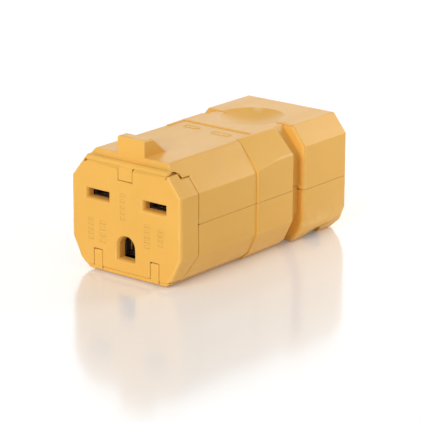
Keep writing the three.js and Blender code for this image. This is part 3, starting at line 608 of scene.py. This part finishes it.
tongues = {
    "front": {"low": 15.63, "high": 15.77, "outline": (
        (16.2, -26.6), (17.48, -26.6), (17.48, -3.9), (17.73, -3.9), (17.73, 10.9),
        (15.73, 11.1), (15.73, 15.1), (14.6, 15.1), (14.6, 10.5), (16.2, 10.5),
    )},
    "rear": {"low": 14.68, "high": 14.82, "outline": (
        (16.4, 15.5), (17.88, 15.5), (17.88, 33.1), (17.3, 33.85), (8.6, 33.85), (8.6, 32.6), (16.4, 32.6),
    )},
}
for part, look in tongues.items():
    for side, sign in (("left", -1), ("right", 1)):
        outline = [(sign * x, y) for x, y in look["outline"]]
        tongue = flatPlate("seam_tongue_" + part + "_" + side, outline, look["low"], look["high"])
        dressed(tongue, yellowNylon, "base")
# thin shim in the groove at the right side of each tab; its x places are from the tab's middle
shim = {
    "tabMiddle": 9.13, "inner": 1.28, "outer": 1.42, "front": -33.9, "back": -33.0, "low": 1.6, "high": 5.84,
}
for side, sign in (("left", -1), ("right", 1)):
    inner, outer = sign * shim["tabMiddle"] + shim["inner"], sign * shim["tabMiddle"] + shim["outer"]
    outline = [(inner, shim["front"]), (outer, shim["front"]), (outer, shim["back"]), (inner, shim["back"])]
    post = flatPlate("tab_shim_" + side, outline, shim["low"], shim["high"])
    dressed(post, yellowNylon, "base")


# two low oval pads on the cover, in front of the panel line
def ovalPad(name, look):
    # rings of an ellipse-like outline |x|^n + |y|^n = 1 drawn in step by step: foot, shoulder, rim and
    # dished middle; each step is its inset and its height over the cover's top, in mm
    steps = ((0, -0.2), (0, 0.09), (0.05, 0.14), (0.17, 0.15), (0.25, 0.12), (0.33, 0.04), (0.5, 0.03))
    around = 64
    angle = np.linspace(0, 2 * np.pi, around, endpoint=False)
    power = 2 / look["square"]
    unit = np.column_stack([
        np.sign(np.cos(angle)) * np.abs(np.cos(angle)) ** power,
        np.sign(np.sin(angle)) * np.abs(np.sin(angle)) ** power,
    ])
    rows = []
    for inset, up in steps:
        ring = unit * (np.array(look["half"]) - inset) + np.array(look["place"])
        rows.append(np.column_stack([ring, np.full(around, look["top"] + up)]))
    pad = linked(name, meshOf(name, np.concatenate(rows) * mm, tubeFaces(len(steps), around)))
    smoothed(pad, 35)
    dressed(pad, yellowNylon, "cover")


ovalPad("cover_pad_left", {"half": (2.5, 1.0), "place": (-5.5, -1.3), "top": 31.05, "square": 2.6})
ovalPad("cover_pad_right", {"half": (3.2, 1.05), "place": (4.4, -2.0), "top": 31.05, "square": 2.6})
print("pieces made")


# floor, lights and camera
def floorMaterial():
    # pale glossy board with a very slight cloudiness
    material, tree, shader = startMaterial("paleBoard")
    cloud = noiseOf(tree, objectPlace(tree), scale=9, detail=3)
    tree.links.new(rangeOf(tree, cloud, 0.3, 0.7, 0.13, 0.17), shader.inputs["Roughness"])
    shader.inputs["Base Color"].default_value = (0.90, 0.90, 0.90, 1)
    shader.inputs["IOR"].default_value = 1.6
    shader.inputs["Specular IOR Level"].default_value = 1.0
    shader.inputs["Emission Color"].default_value = (1, 1, 1, 1)
    shader.inputs["Emission Strength"].default_value = 0.08
    return material


floorHalf = 3.0
floorTop = cadBox[0][2] - 0.2 * mm
floor = linked("floor", meshOf("floor", np.array([
    (-floorHalf, -floorHalf, floorTop), (floorHalf, -floorHalf, floorTop),
    (floorHalf, floorHalf, floorTop), (-floorHalf, floorHalf, floorTop),
]), [[0, 1, 2, 3]]))
floor.data.materials.append(floorMaterial())


def softLight(name, aim, look):
    data = bpy.data.lights.new(name, "AREA")
    data.shape = "RECTANGLE"
    data.size, data.size_y = look["size"]
    data.energy = look["power"]
    data.color = look["tint"]
    lamp = linked(name, data)
    lamp.location = look["place"]
    lamp.rotation_euler = (aim - Vector(look["place"])).to_track_quat("-Z", "Y").to_euler()


studio = {
    "key": {"place": (0.10, -0.78, 0.40), "size": (0.35, 0.35), "power": 4.1, "tint": (1.0, 0.985, 0.96)},
    "sideFill": {"place": (0.12, 0.17, 0.10), "size": (0.09, 0.09), "power": 0.16, "tint": (1.0, 0.98, 0.94)},
    "backPanel": {"place": (-0.55, 0.95, 0.36), "size": (1.5, 0.6), "power": 3.5, "tint": (1.0, 1.0, 1.0)},
    "surround": 0.45,
}
middle = (Vector(cadBox[0]) + Vector(cadBox[1])) / 2
for name in ("key", "sideFill", "backPanel"):
    softLight(name, middle, studio[name])
world = bpy.data.worlds.new("studio")
world.use_nodes = True
world.node_tree.nodes["Background"].inputs["Color"].default_value = (1, 1, 1, 1)
world.node_tree.nodes["Background"].inputs["Strength"].default_value = studio["surround"]
bpy.context.scene.world = world
bpy.context.scene.view_settings.view_transform = "Standard"

viewAzimuth, viewElevation, viewRoll = math.radians(38.634), math.radians(17.04), math.radians(0.17)
viewDistance = 0.5913
aim = Vector((-0.0003, 0, 0.0093))
back = Vector((
    math.sin(viewAzimuth) * math.cos(viewElevation),
    -math.cos(viewAzimuth) * math.cos(viewElevation),
    math.sin(viewElevation),
))
lens = bpy.data.cameras.new("camera")
lens.lens = 196.2
lens.sensor_width = 36
camera = linked("camera", lens)
camera.location = aim + back * viewDistance
facing = back.to_track_quat("Z", "Y").to_matrix().to_4x4()
camera.rotation_euler = (facing @ Euler((0, 0, viewRoll)).to_matrix().to_4x4()).to_euler()
bpy.context.scene.camera = camera
print("stage set")
